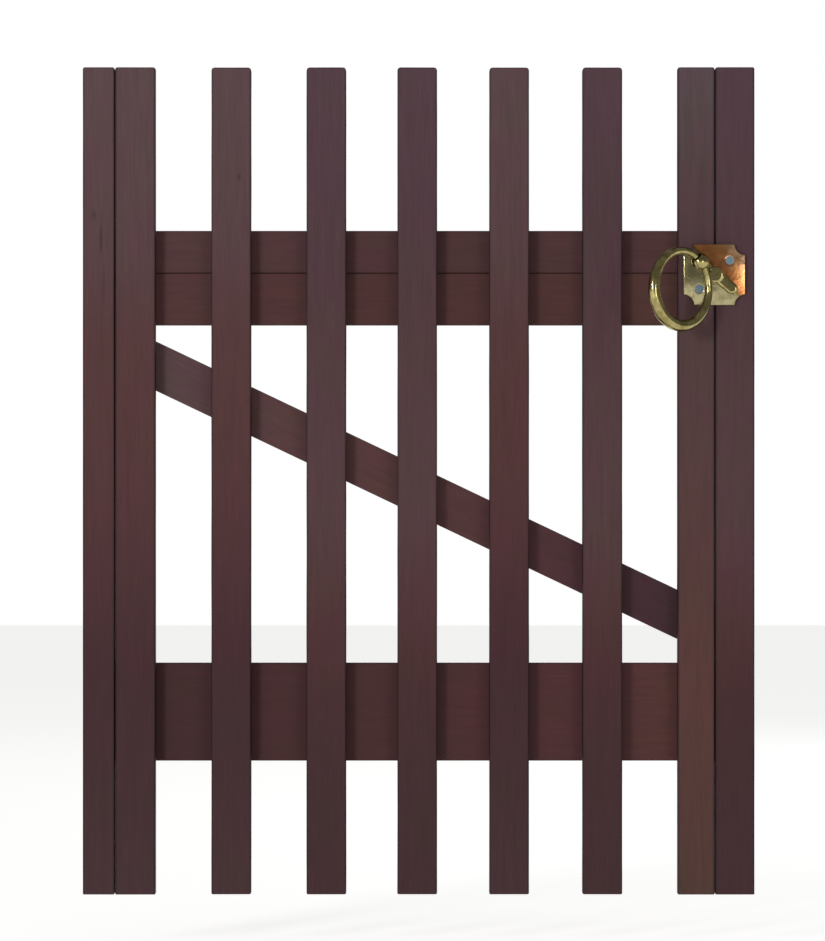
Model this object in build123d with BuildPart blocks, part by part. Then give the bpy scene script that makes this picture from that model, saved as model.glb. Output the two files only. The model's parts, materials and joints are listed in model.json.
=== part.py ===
from build123d import *
from math import atan, cos, degrees, radians, sin, sqrt
import os

# Garden gate: a ledged and braced picket leaf, hung on two hook-and-band hinges, with a ring latch.
# Millimetres. X runs from the hinge edge to the latch edge, -Y is the front, +Z is up.
# The origin is the centre of the lower hook plate's back, where the plate bears on the post.

os.makedirs("parts", exist_ok=True)

# ---- driving dimensions: the leaf ----
leaf_width = 742.0
leaf_height = 914.0
board_thickness = 20.0            # stile boards and pickets, at the front
rail_thickness = 20.0             # rails and brace, behind them
hinge_outer_width = 35.5          # each stile is two boards, edge to edge
hinge_inner_width = 44.8
latch_inner_width = 41.2
latch_outer_width = 43.8
stile_joint = 0.6                 # open joint between the two boards of a stile
picket_width = 44.5
picket_nudges = (2.4, 3.9, 0.8, -1.2, -1.8)   # how far each picket stands off an even spacing
arris = 1.5                       # rounding of the uprights' front edges
corner = 2.5                      # rounding of the top corners
rail_arris = 0.7                  # rounding of the rails' and the brace's long edges
rail_inset = 4.0                  # the rails stop this far inside the leaf's edges
lower_rail_bottom = 147.0         # above the leaf's bottom
lower_rail_height = 108.0
upper_rail_drop = 180.0           # from the leaf's top to the upper rail's top
upper_rail_top_board = 46.5       # the upper rail is two boards, edge to edge
upper_rail_bottom_board = 58.0
rail_joint = 0.5
brace_width = 49.5
brace_bearing = 10.4              # length of the brace's seat on each rail
brace_inset = 28.0                # from the rails' ends to the brace's ends

# ---- driving dimensions: wood screws from the rear ----
screw_radius = 2.25
screw_head_radius = 4.2
screw_bite = 0.7                  # share of the board's thickness that the screws reach into
screw_clearance = 0.05
pilot_spare = 0.5                 # the holes run this far past the screws' points
screw_row_edge = 9.0              # from a rail board's edge to its screws
lower_row_edge = 20.0
top_row_edge = 12.5
brace_screw_step = 9.0            # along the brace, each side of the board's middle
brace_screw_offset = 7.0          # up or down from the brace's middle

# ---- driving dimensions: hinges ----
pin_radius = 6.0
fit = 0.08                        # running fit of a pin or journal, on the radius
strap_thickness = 4.0
strap_height = 30.0
strap_overrun = 16.0              # past the last coach screw
pin_inset = 13.0                  # from the leaf's hinge edge to the pin's axis
pin_gap = 4.92                    # from the hook plate's face to the band's eye
pin_above_eye = 8.0
lug_height = 14.0
lug_wall = 3.0                    # round the pin
eye_gap = 0.5                     # between the lug and the eye that rides above it
hook_plate_width = 40.0
hook_plate_height = 100.0
hook_plate_thickness = 5.0
hook_plate_inset = 1.5            # the plate's edge stands this far inside the leaf's edge
hook_hole_radius = 3.2
hook_hole_spacing_x = 24.0
hook_hole_spacing_z = 76.0
coach_radius = 4.0
coach_bite = 0.6                  # share of the board's thickness that coach screws reach into
coach_head_flats = 13.0
coach_head_height = 5.5
hook_plate_corner = 5.0
strap_end_rounding = 0.45         # of the strap's height
pin_chamfer = 1.5

# ---- driving dimensions: ring latch ----
spindle_backset = 44.7            # from the leaf's latch edge to the spindle
spindle_rise = 55.0               # above the upper rail's bottom edge
spindle_radius = 5.0
spindle_hole_gap = 2.0            # round the spindle, through the wood
square_share = 1.4                # width of the spindle's square part, over its radius
thread_share = 0.6                # radius of the spindle's threaded end, over its radius
rose_width = 68.0
rose_height = 67.0
rose_scoop = 11.5
rose_thickness = 8.0              # at the crown of the dome
rose_dome_radius = 196.0
rose_screw_x = 16.9
rose_screw_z = 15.7
rose_screw_bite = 0.8             # share of the board's thickness
rose_screw_radius = 2.0
rose_screw_head = 4.8
rose_screw_sink = 1.8             # the heads sit this far below the crown of the dome
moving_gap = 0.4                  # between pieces that turn past each other
lever_width = 13.0
lever_thickness = 6.5
lever_tail = 24.0                 # from the spindle to the tail's centre
eye_offset_x = -16.8              # ring eye, from the spindle
eye_offset_z = 13.6
eye_neck = 3.5                    # between the lever's front and the eye's ball
eye_play = 0.48                   # left in the eye where the ring's bend comes nearest its edge
eye_wall = 4.1
eye_stem_radius = 5.0
hub_wall = 4.0                    # round the spindle
hub_thickness = 7.8
hub_rounding = 1.6
cross_pin_radius = 1.5
ring_radius = 41.2                # to the middle of the ring's section
ring_thin = 3.9                   # section radius at the eye
ring_thick = 7.1                  # section radius opposite the eye
ring_sections = 7                 # drawn round half of the ring
ring_yaw = 40.4                   # how far the hanging ring is turned from the leaf
ring_tilt = 46.4                  # how far round the ring the eye stands above its middle

# ---- driving dimensions: fall bar at the rear ----
bar_height = 20.0
bar_thickness = 5.0
bar_rise = 8.05                   # from the spindle to the bar's underside
bar_tail = 12.0                   # past the pivot
bar_standoff = 1.0                # behind the back plate
bar_nose_inset = 6.0              # the nose stops this far inside the latch edge
bar_nose_chamfer = 7.0
bar_pivot_radius = 4.0
bar_pivot_head = 7.5
bar_pivot_head_height = 4.5
bar_pivot_head_rounding = 2.0
bar_pivot_slot_width = 2.4
bar_pivot_slot_depth = 1.4
bar_lift = 6.05                   # degrees, at the end of the ring's turn
back_plate_size = 56.0
back_plate_thickness = 3.0
back_screw_offset = 22.0
plate_corner = 4.0                # rounding of the back plate's and the pivot plate's corners
small_screw_radius = 2.0
small_screw_head = 3.8
lifter_reach = 24.0
lifter_top = 6.0
lifter_depth = 7.0
lifter_hub_wall = 3.0
lifter_overlap = 0.5              # the lifter reaches this far behind the bar
square_clearance = 0.1            # of the lifter's square hole, on its width
stop_lug_length = 8.0
stop_lug_depth = 4.0
spindle_washer_radius = 7.0
spindle_washer_thickness = 1.5
spindle_nut_flats = 10.0
spindle_nut_height = 5.0
thread_overrun = 2.0              # past the nut
washer_clearance = 0.1
pivot_plate_width = 36.0
pivot_plate_height = 44.0
pivot_plate_drop = 8.0            # from the pivot down to the plate's middle
pivot_screw_drop = 22.0           # from the pivot down to the plate's screws
pivot_screw_inset = 7.0           # from the plate's sides
guide_distance = 60.0             # from the bar's pivot
guide_width = 14.0
guide_wall = 2.0
guide_upper_foot = 10.0
guide_lower_foot = 15.0           # longer, so that its screw stands clear of the rail's joint
guide_screw_from_end = 5.0
guide_clearance = 0.6             # above and below the bar's travel
guide_rear_clearance = 0.8        # behind the bar
knob_distance = 90.0              # from the bar's pivot
knob_radius = 8.0
knob_neck_radius = 3.5
knob_cap = 5.0
knob_flare = 3.5                  # height of the cone under the cap
knob_flare_step = 1.0             # how far the cone's foot stands out from the neck
knob_standoff = 3.0               # from the bar to the cone

# ---- places worked out from them ----
eye_radius = pin_radius + fit + strap_thickness
pin_y = -(hook_plate_thickness + pin_gap + eye_radius)
lug_radius = pin_radius + lug_wall
rear_y = pin_y - eye_radius                     # rear faces of the rails
joint_y = rear_y - rail_thickness               # where the rails meet the boards
front_y = joint_y - board_thickness             # front faces of the boards
leaf_left = -(hook_plate_inset + hook_plate_width / 2)
leaf_right = leaf_left + leaf_width
pin_x = leaf_left + pin_inset
leaf_bottom = -(lower_rail_bottom + lower_rail_height / 2)
leaf_top = leaf_bottom + leaf_height
rail_left = leaf_left + rail_inset
rail_right = leaf_right - rail_inset
lower_rail_low = leaf_bottom + lower_rail_bottom
lower_rail_top = lower_rail_low + lower_rail_height
upper_rail_top = leaf_top - upper_rail_drop
upper_joint_z = upper_rail_top - upper_rail_top_board
upper_rail_low = upper_joint_z - upper_rail_bottom_board
upper_hinge_z = upper_rail_low + (upper_rail_bottom_board - rail_joint) / 2
spindle_x = leaf_right - spindle_backset
spindle_z = upper_rail_low + spindle_rise
spindle_hole_radius = spindle_radius + spindle_hole_gap
square_end = square_share * spindle_radius
thread_radius = thread_share * spindle_radius
hub_radius = spindle_radius + hub_wall
lifter_hub_radius = spindle_radius + lifter_hub_wall
# the ring bends inside the eye, by the square of the ball's radius over the ring's own diameter
eye_room = ring_thin + eye_play + eye_wall
eye_ball_radius = ring_radius * (1 - sqrt(1 - 2 * eye_room / ring_radius))
eye_hole_radius = eye_ball_radius - eye_wall

rear_plane = Plane.XZ.offset(-rear_y)           # these planes face the front, with X right and Z up
joint_plane = Plane.XZ.offset(-joint_y)
front_plane = Plane.XZ.offset(-front_y)

# left edge and width of each upright, from the hinge edge to the latch edge
inner_left = leaf_left + hinge_outer_width + hinge_inner_width
inner_right = leaf_right - latch_inner_width - latch_outer_width
picket_count = len(picket_nudges)
picket_gap = (inner_right - inner_left - picket_count * picket_width) / (picket_count + 1)
uprights = {
    "hinge_stile_outer_board": (leaf_left, hinge_outer_width - stile_joint / 2),
    "hinge_stile_inner_board": (
        leaf_left + hinge_outer_width + stile_joint / 2, hinge_inner_width - stile_joint / 2),
    "latch_stile_inner_board": (inner_right, latch_inner_width - stile_joint / 2),
    "latch_stile_outer_board": (
        inner_right + latch_inner_width + stile_joint / 2, latch_outer_width - stile_joint / 2),
}
for i, nudge in enumerate(picket_nudges):
    picket_left = inner_left + picket_gap + i * (picket_gap + picket_width) + nudge
    uprights[f"picket_{i + 1}"] = (picket_left, picket_width)


def middle(name):
    """The X of an upright's middle."""
    left, width = uprights[name]
    return left + width / 2


upright_xs = [middle(name) for name in uprights]

# the brace: high at the hinge side, low at the latch side, seated on both rails
brace_left = rail_left + brace_inset
brace_right = rail_right - brace_inset / 2
brace_seat_left = brace_left + brace_bearing
brace_seat_right = brace_right - brace_bearing


def brace_slope_for(width):
    """The slope that makes the brace's two seats and its width agree."""
    run = brace_seat_right - brace_seat_left
    rise = upper_rail_low - lower_rail_top
    slope = rise / run
    for _ in range(40):
        slope = (rise - width / cos(atan(slope))) / run
    return slope


brace_slope = brace_slope_for(brace_width)
brace_depth = brace_width / cos(atan(brace_slope))      # measured straight down


def brace_middle(x):
    """The Z of the brace's middle line at X."""
    return upper_rail_low - (x - brace_seat_left) * brace_slope - brace_depth / 2


# wood screws: points in X and Z, by the rail that they go through
lower_rows = (lower_rail_low + lower_row_edge, lower_rail_top - lower_row_edge)
bottom_board_top = upper_joint_z - rail_joint
upper_rows = (upper_rail_low + screw_row_edge, bottom_board_top - screw_row_edge)
top_row = upper_rail_top - top_row_edge
lower_rail_points = [(x, z) for x in upright_xs for z in lower_rows]
upper_bottom_points = [(x, z) for x in upright_xs for z in upper_rows]
upper_top_points = [(x, top_row) for x in upright_xs]
braced = ["hinge_stile_inner_board", "latch_stile_inner_board"]
braced += [f"picket_{i + 1}" for i in range(picket_count)]
brace_points = []
for name in braced:
    for side in (-1, 1):
        x = middle(name) + side * brace_screw_step
        brace_points.append((x, brace_middle(x) + side * brace_screw_offset))
wood_screw_points = lower_rail_points + upper_bottom_points + upper_top_points + brace_points

# coach screws: the straps are fixed where an upright backs the rail
strapped = ["hinge_stile_inner_board", "picket_1", "picket_2"]
strap_xs = [middle(name) for name in strapped]
strap_end = strap_xs[-1] + strap_overrun
hinge_heights = {"lower": 0.0, "upper": upper_hinge_z}
coach_points = [(x, z) for x in strap_xs for z in hinge_heights.values()]

# the fall bar turns about a bolt that the last picket backs
bar_pivot_x = middle(f"picket_{picket_count}")
bar_low = spindle_z + bar_rise
bar_pivot_z = bar_low + bar_height / 2
bar_front_y = rear_y + back_plate_thickness + bar_standoff
bar_rear_y = bar_front_y + bar_thickness
bar_nose_x = leaf_right - bar_nose_inset
pivot_plate_thickness = bar_front_y - rear_y - moving_gap

# screws: those of the latch's plates stay within the rail, the others bite into the boards
small_screw_length = rail_thickness
small_pilot_depth = small_screw_length - guide_wall + pilot_spare
screw_length = rail_thickness + screw_bite * board_thickness
pilot_depth = screw_length - rail_thickness + pilot_spare
coach_length = strap_thickness + rail_thickness + coach_bite * board_thickness
coach_depth = coach_length - strap_thickness - rail_thickness + pilot_spare
bar_bolt_length = rail_thickness + coach_bite * board_thickness
bar_bolt_depth = bar_bolt_length - rail_thickness + pilot_spare
rose_screw_length = rose_thickness - rose_screw_sink + rose_screw_bite * board_thickness
rose_pilot_depth = rose_screw_bite * board_thickness + pilot_spare

# small screws through the latch's plates, all from the rear
back_screw_points = [
    (spindle_x + side_x * back_screw_offset, spindle_z + side_z * back_screw_offset)
    for side_x in (-1, 1) for side_z in (-1, 1)]
pivot_screw_x = pivot_plate_width / 2 - pivot_screw_inset
pivot_screw_points = [
    (bar_pivot_x + side * pivot_screw_x, bar_pivot_z - pivot_screw_drop) for side in (-1, 1)]
guide_x = bar_pivot_x + guide_distance
guide_low = bar_low - guide_clearance
guide_high = (bar_low + bar_height + guide_clearance
              + (guide_distance + guide_width / 2) * sin(radians(bar_lift)))
guide_screw_points = [
    (guide_x, guide_low - guide_wall - guide_lower_foot + guide_screw_from_end),
    (guide_x, guide_high + guide_wall + guide_upper_foot - guide_screw_from_end)]
rose_screw_points = [
    (spindle_x + rose_screw_x, spindle_z + rose_screw_z),
    (spindle_x - rose_screw_x, spindle_z - rose_screw_z)]


def inside(points, low_x, high_x, low_z=leaf_bottom, high_z=leaf_top):
    """The points that lie in a board."""
    return [(x, z) for x, z in points if low_x < x < high_x and low_z < z < high_z]


def facing_front(points, y):
    """Planes at points in X and Z that face the front, for pieces driven in from the rear."""
    return [Plane(origin=(x, y, z), x_dir=(1, 0, 0), z_dir=(0, -1, 0)) for x, z in points]


def facing_rear(points, y):
    """The same, facing the rear, for pieces driven in from the front."""
    return [Plane(origin=(x, y, z), x_dir=(1, 0, 0), z_dir=(0, 1, 0)) for x, z in points]


def drill(planes, radius, depth):
    """Round holes into the part being built, one along each plane's normal."""
    if planes:
        with Locations(*planes):
            Cylinder(radius, depth, align=(Align.CENTER, Align.CENTER, Align.MIN),
                     mode=Mode.SUBTRACT)


def countersink(planes, head, shank):
    """Conical seats for screw heads in the part being built."""
    if planes:
        with Locations(*planes):
            Cone(head + screw_clearance, shank, head - shank + screw_clearance,
                 align=(Align.CENTER, Align.CENTER, Align.MIN), mode=Mode.SUBTRACT)


def countersunk_screws(planes, radius, head, length):
    """Countersunk screws with a cross recess and a point, one at each plane."""
    along = (Align.CENTER, Align.CENTER, Align.MIN)
    point = 2 * radius
    with BuildPart() as screws:
        with Locations(*planes):
            Cylinder(radius, length - point, align=along)
            Cone(head, radius, head - radius, align=along)
        with Locations(*[plane.offset(length - point) for plane in planes]):
            Cone(radius, radius / 5, point, align=along)
        with Locations(*planes):
            Box(1.1 * head, head / 5, head / 4, align=along, mode=Mode.SUBTRACT)
            Box(head / 5, 1.1 * head, head / 4, align=along, mode=Mode.SUBTRACT)
    return screws


# ---- uprights: two boards in each stile, and the pickets ----
for name, (left, width) in uprights.items():
    with BuildPart() as upright:
        with BuildSketch(joint_plane):
            with Locations((left + width / 2, leaf_bottom + leaf_height / 2)):
                Rectangle(width, leaf_height)
        extrude(amount=board_thickness)
        fillet(upright.edges().filter_by(Axis.Y).group_by(Axis.Z)[-1], corner)
        fillet(upright.faces().sort_by(Axis.Y)[0].edges(), arris)
        span = (left, left + width)
        drill(facing_front(inside(wood_screw_points, *span), joint_y),
              screw_radius + screw_clearance, pilot_depth)
        drill(facing_front(inside(coach_points, *span), joint_y),
              coach_radius + screw_clearance, coach_depth)
        drill(facing_front(inside([(bar_pivot_x, bar_pivot_z)], *span), joint_y),
              bar_pivot_radius + screw_clearance, bar_bolt_depth)
        if left - spindle_hole_radius < spindle_x < left + width + spindle_hole_radius:
            drill(facing_front([(spindle_x, spindle_z)], joint_y),
                  spindle_hole_radius, board_thickness)
        drill(facing_rear(inside(rose_screw_points, *span), front_y),
              rose_screw_radius + screw_clearance, rose_pilot_depth)
    upright.part.label = name
    export_step(upright.part, f"parts/{name}.step")

# ---- rails, with countersunk holes in their rear faces ----
small_holes = back_screw_points + pivot_screw_points + guide_screw_points
rails = {
    "lower_rail": (lower_rail_low, lower_rail_top, lower_rail_points),
    "upper_rail_bottom_board": (upper_rail_low, bottom_board_top, upper_bottom_points),
    "upper_rail_top_board": (upper_joint_z, upper_rail_top, upper_top_points),
}
for name, (low, high, points) in rails.items():
    with BuildPart() as rail:
        with BuildSketch(rear_plane):
            with Locations(((rail_left + rail_right) / 2, (low + high) / 2)):
                Rectangle(rail_right - rail_left, high - low)
        extrude(amount=rail_thickness)
        fillet(rail.edges().filter_by(Axis.X), rail_arris)
        span = (rail_left, rail_right, low, high)
        drill(facing_front(points, rear_y), screw_radius + screw_clearance, rail_thickness)
        countersink(facing_front(points, rear_y), screw_head_radius, screw_radius)
        drill(facing_front(inside(coach_points, *span), rear_y),
              coach_radius + screw_clearance, rail_thickness)
        drill(facing_front(inside([(bar_pivot_x, bar_pivot_z)], *span), rear_y),
              bar_pivot_radius + screw_clearance, rail_thickness)
        drill(facing_front(inside(small_holes, *span), rear_y),
              small_screw_radius + screw_clearance, small_pilot_depth)
        if low - spindle_hole_radius < spindle_z < high + spindle_hole_radius:
            drill(facing_front([(spindle_x, spindle_z)], rear_y),
                  spindle_hole_radius, rail_thickness)
    rail.part.label = name
    export_step(rail.part, f"parts/{name}.step")

# ---- brace ----
with BuildPart() as brace:
    with BuildSketch(rear_plane):
        with BuildLine():
            Polyline(
                (brace_left, upper_rail_low),
                (brace_seat_left, upper_rail_low),
                (brace_right, brace_middle(brace_right) + brace_depth / 2),
                (brace_right, lower_rail_top),
                (brace_seat_right, lower_rail_top),
                (brace_left, brace_middle(brace_left) - brace_depth / 2),
                close=True)
        make_face()
    extrude(amount=rail_thickness)
    fillet(brace.faces().sort_by(Axis.Y)[0].edges().sort_by(SortBy.LENGTH)[-2:], rail_arris)
    drill(facing_front(brace_points, rear_y), screw_radius + screw_clearance, rail_thickness)
    countersink(facing_front(brace_points, rear_y), screw_head_radius, screw_radius)
brace.part.label = "brace"
export_step(brace.part, "parts/brace.step")

# ---- wood screws, driven from the rear through the rails and the brace ----
screw_groups = {
    "lower_rail_screws": lower_rail_points,
    "upper_rail_screws": upper_bottom_points + upper_top_points,
    "brace_screws": brace_points,
}
for name, points in screw_groups.items():
    group = countersunk_screws(
        facing_front(points, rear_y), screw_radius, screw_head_radius, screw_length)
    group.part.label = name
    export_step(group.part, f"parts/{name}.step")

# ---- hinges: a band on the leaf, and a hook with its pin on the post ----
for side, height in hinge_heights.items():
    strap_low = height - strap_height / 2
    with BuildPart() as band:
        with BuildSketch(Plane.XY.offset(strap_low)):
            with Locations(((pin_x + strap_end) / 2, rear_y + strap_thickness / 2)):
                Rectangle(strap_end - pin_x, strap_thickness)
            with Locations((pin_x, pin_y)):
                Circle(eye_radius)
                Circle(pin_radius + fit, mode=Mode.SUBTRACT)
        extrude(amount=strap_height)
        fillet(band.edges().filter_by(Axis.Y).group_by(Axis.X)[-1], strap_height * strap_end_rounding)
        drill(facing_front([(x, height) for x in strap_xs], rear_y + strap_thickness),
              coach_radius + screw_clearance, strap_thickness)
    band.part.label = f"{side}_hinge_band"
    export_step(band.part, f"parts/{side}_hinge_band.step")

    head_plane = Plane.XZ.offset(-(rear_y + strap_thickness + coach_head_height))
    with BuildPart() as coach_screws:
        with BuildSketch(head_plane):
            with Locations(*[(x, height) for x in strap_xs]):
                RegularPolygon(coach_head_flats / 2, 6, major_radius=False)
        extrude(amount=coach_head_height)
        chamfer(coach_screws.faces().group_by(Axis.Y)[-1].edges(), 0.8)
        with BuildSketch(head_plane.offset(coach_head_height)):
            with Locations(*[(x, height) for x in strap_xs]):
                Circle(coach_radius)
        extrude(amount=coach_length)
        chamfer(coach_screws.faces().group_by(Axis.Y)[0].edges(), coach_radius * 0.5)
    coach_screws.part.label = f"{side}_band_screws"
    export_step(coach_screws.part, f"parts/{side}_band_screws.step")

    lug_top = strap_low - eye_gap
    with BuildPart() as hook:
        with BuildSketch(Plane.XZ):
            with Locations((0, height)):
                RectangleRounded(hook_plate_width, hook_plate_height, hook_plate_corner)
                with GridLocations(hook_hole_spacing_x, hook_hole_spacing_z, 2, 2):
                    Circle(hook_hole_radius, mode=Mode.SUBTRACT)
        extrude(amount=hook_plate_thickness)
        with BuildSketch(Plane.XY.offset(lug_top - lug_height)):
            with Locations((pin_x, pin_y)):
                Circle(lug_radius)
            with Locations((pin_x, (pin_y - hook_plate_thickness / 2) / 2)):
                Rectangle(2 * lug_radius, -pin_y - hook_plate_thickness / 2)
        extrude(amount=lug_height)
        with BuildSketch(Plane.XY.offset(lug_top - lug_height)):
            with Locations((pin_x, pin_y)):
                Circle(pin_radius)
        extrude(amount=lug_height, mode=Mode.SUBTRACT)
    hook.part.label = f"{side}_hook_plate"
    export_step(hook.part, f"parts/{side}_hook_plate.step")

    with BuildPart() as hinge_pin:
        with BuildSketch(Plane.XY.offset(lug_top - lug_height)):
            with Locations((pin_x, pin_y)):
                Circle(pin_radius)
        extrude(amount=lug_height + eye_gap + strap_height + pin_above_eye)
        chamfer(hinge_pin.edges().group_by(Axis.Z)[-1], pin_chamfer)
    hinge_pin.part.label = f"{side}_hook_pin"
    export_step(hinge_pin.part, f"parts/{side}_hook_pin.step")

# ---- rose: a domed square plate with scooped corners, at the front ----
crown_y = front_y - rose_thickness
with BuildPart() as rose:
    with BuildSketch(front_plane):
        with Locations((spindle_x, spindle_z)):
            Rectangle(rose_width, rose_height)
            with GridLocations(rose_width, rose_height, 2, 2):
                Circle(rose_scoop, mode=Mode.SUBTRACT)
    extrude(amount=rose_thickness)
    with Locations((spindle_x, crown_y + rose_dome_radius, spindle_z)):
        Sphere(rose_dome_radius, mode=Mode.INTERSECT)
    drill(facing_front([(spindle_x, spindle_z)], front_y), spindle_radius + fit, rose_thickness)
    drill(facing_front(rose_screw_points, front_y),
          rose_screw_radius + screw_clearance, rose_thickness)
    countersink(facing_rear(rose_screw_points, crown_y + rose_screw_sink),
                rose_screw_head, rose_screw_radius)
    drill(facing_front(rose_screw_points, crown_y + rose_screw_sink),
          rose_screw_head + screw_clearance, rose_thickness)
rose.part.label = "rose_plate"
export_step(rose.part, "parts/rose_plate.step")

rose_screws = countersunk_screws(
    facing_rear(rose_screw_points, crown_y + rose_screw_sink),
    rose_screw_radius, rose_screw_head, rose_screw_length)
rose_screws.part.label = "rose_screws"
export_step(rose_screws.part, "parts/rose_screws.step")

# ---- ring boss: a lever on the spindle that carries the ring's eye ----
lever_back_y = crown_y - moving_gap
lever_front_y = lever_back_y - lever_thickness
lever_plane = Plane.XZ.offset(-lever_back_y)
eye_y = lever_front_y - eye_neck - eye_ball_radius
eye = Vector(spindle_x + eye_offset_x, eye_y, spindle_z + eye_offset_z)
eye_reach = (eye_offset_x ** 2 + eye_offset_z ** 2) ** 0.5
tail_x = spindle_x - eye_offset_x / eye_reach * lever_tail
tail_z = spindle_z - eye_offset_z / eye_reach * lever_tail
# the ring hangs in an upright plane: "along" points from the ring's middle back to its eye's side
yaw = radians(ring_yaw)
tilt = radians(ring_tilt)
along = Vector(cos(yaw), sin(yaw), 0)
up = Vector(0, 0, 1)
to_eye = along * cos(tilt) + up * sin(tilt)
eye_axis = along * sin(tilt) - up * cos(tilt)       # the ring's direction where it passes the eye
ring_centre = eye - to_eye * ring_radius
with BuildPart() as boss:
    with BuildSketch(lever_plane):
        with Locations(((tail_x + eye.X) / 2, (tail_z + eye.Z) / 2)):
            SlotCenterToCenter(lever_tail + eye_reach, lever_width,
                               rotation=degrees(atan(eye_offset_z / eye_offset_x)))
    extrude(amount=lever_thickness)
    fillet(boss.faces().sort_by(Axis.Y)[0].edges(), lever_thickness * 0.45)
    with BuildSketch(lever_plane):
        with Locations((spindle_x, spindle_z)):
            Circle(hub_radius)
    extrude(amount=hub_thickness)
    fillet(boss.faces().sort_by(Axis.Y)[0].edges(), hub_rounding)
    with BuildSketch(lever_plane.offset(1.0)):
        with Locations((eye.X, eye.Z)):
            Circle(eye_stem_radius)
    extrude(amount=lever_back_y - 1.0 - eye.Y)
    with Locations(Plane(origin=eye, z_dir=eye_axis)):
        Sphere(eye_ball_radius)
        Cylinder(eye_hole_radius, 4 * eye_ball_radius, mode=Mode.SUBTRACT)
    drill(facing_front([(spindle_x, spindle_z)], lever_back_y), spindle_radius, lever_thickness)
    with Locations(Plane(origin=(spindle_x, lever_back_y - lever_thickness / 2, spindle_z),
                         z_dir=(1, 0, 0))):
        Cylinder(cross_pin_radius, 4 * hub_radius, mode=Mode.SUBTRACT)
boss.part.label = "ring_boss"
export_step(boss.part, "parts/ring_boss.step")

# ---- ring: its section grows from the eye to the far side ----


def ring_section(angle):
    """Section radius at an angle from the eye."""
    return ring_thin + (ring_thick - ring_thin) * (1 - cos(radians(angle))) / 2


ring_normal = to_eye.cross(eye_axis)
with BuildPart() as ring:
    with BuildLine(Plane(origin=ring_centre, x_dir=to_eye, z_dir=ring_normal)):
        half = CenterArc((0, 0), ring_radius, 0, 180)
    for i in range(ring_sections):
        share = i / (ring_sections - 1)
        with BuildSketch(Plane(origin=half @ share, x_dir=ring_normal, z_dir=half % share)):
            Circle(ring_section(180 * share))
    sweep(path=half, multisection=True)
    mirror(ring.part, about=Plane(origin=ring_centre, z_dir=eye_axis))
ring.part.label = "ring_handle"
export_step(ring.part, "parts/ring_handle.step")

# ---- spindle, through the leaf ----
back_plate_rear_y = rear_y + back_plate_thickness
lifter_front_y = back_plate_rear_y + moving_gap
lifter_thickness = bar_rear_y + lifter_overlap - lifter_front_y
lifter_rear_y = lifter_front_y + lifter_thickness
thread_length = spindle_washer_thickness + spindle_nut_height + thread_overrun
with BuildPart() as spindle:
    with BuildSketch(Plane.XZ.offset(-lever_front_y)):
        with Locations((spindle_x, spindle_z)):
            Circle(spindle_radius)
    extrude(amount=lever_front_y - back_plate_rear_y)
    with BuildSketch(Plane.XZ.offset(-back_plate_rear_y)):
        with Locations((spindle_x, spindle_z)):
            Rectangle(square_end, square_end)
    extrude(amount=back_plate_rear_y - lifter_rear_y)
    with BuildSketch(Plane.XZ.offset(-lifter_rear_y)):
        with Locations((spindle_x, spindle_z)):
            Circle(thread_radius)
    extrude(amount=-thread_length)
    with Locations(Plane(origin=(spindle_x, lever_back_y - lever_thickness / 2, spindle_z),
                         z_dir=(1, 0, 0))):
        Cylinder(cross_pin_radius, 4 * hub_radius, mode=Mode.SUBTRACT)
spindle.part.label = "spindle"
export_step(spindle.part, "parts/spindle.step")

with BuildPart() as cross_pin:
    with Locations(Plane(origin=(spindle_x, lever_back_y - lever_thickness / 2, spindle_z),
                         z_dir=(1, 0, 0))):
        Cylinder(cross_pin_radius, 2 * hub_radius - 1.0)
cross_pin.part.label = "boss_cross_pin"
export_step(cross_pin.part, "parts/boss_cross_pin.step")

# ---- lifter: an arm under the fall bar, on the spindle's square ----
with BuildPart() as lifter:
    with BuildSketch(Plane.XZ.offset(-lifter_rear_y)):
        with Locations((spindle_x, spindle_z)):
            Circle(lifter_hub_radius)
        with Locations((spindle_x - lifter_reach / 2, spindle_z + lifter_top - lifter_depth / 2)):
            Rectangle(lifter_reach, lifter_depth)
        with Locations((spindle_x, spindle_z)):
            Rectangle(square_end + square_clearance, square_end + square_clearance,
                      mode=Mode.SUBTRACT)
    extrude(amount=lifter_thickness)
    # the top of the hub is dressed flat, clear of the bar
    with Locations((spindle_x, lifter_front_y, spindle_z + lifter_top)):
        Box(4 * lifter_hub_radius, 4 * lifter_thickness, lifter_hub_radius,
            align=(Align.CENTER, Align.CENTER, Align.MIN), mode=Mode.SUBTRACT)
lifter.part.label = "lifter"
export_step(lifter.part, "parts/lifter.step")

with BuildPart() as spindle_washer:
    with BuildSketch(Plane.XZ.offset(-(lifter_rear_y + spindle_washer_thickness))):
        with Locations((spindle_x, spindle_z)):
            Circle(spindle_washer_radius)
            Circle(thread_radius + washer_clearance, mode=Mode.SUBTRACT)
    extrude(amount=spindle_washer_thickness)
spindle_washer.part.label = "spindle_washer"
export_step(spindle_washer.part, "parts/spindle_washer.step")

nut_rear_y = lifter_rear_y + spindle_washer_thickness + spindle_nut_height
with BuildPart() as spindle_nut:
    with BuildSketch(Plane.XZ.offset(-nut_rear_y)):
        with Locations((spindle_x, spindle_z)):
            RegularPolygon(spindle_nut_flats / 2, 6, major_radius=False)
            Circle(thread_radius + screw_clearance, mode=Mode.SUBTRACT)
    extrude(amount=spindle_nut_height)
spindle_nut.part.label = "spindle_nut"
export_step(spindle_nut.part, "parts/spindle_nut.step")

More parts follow.
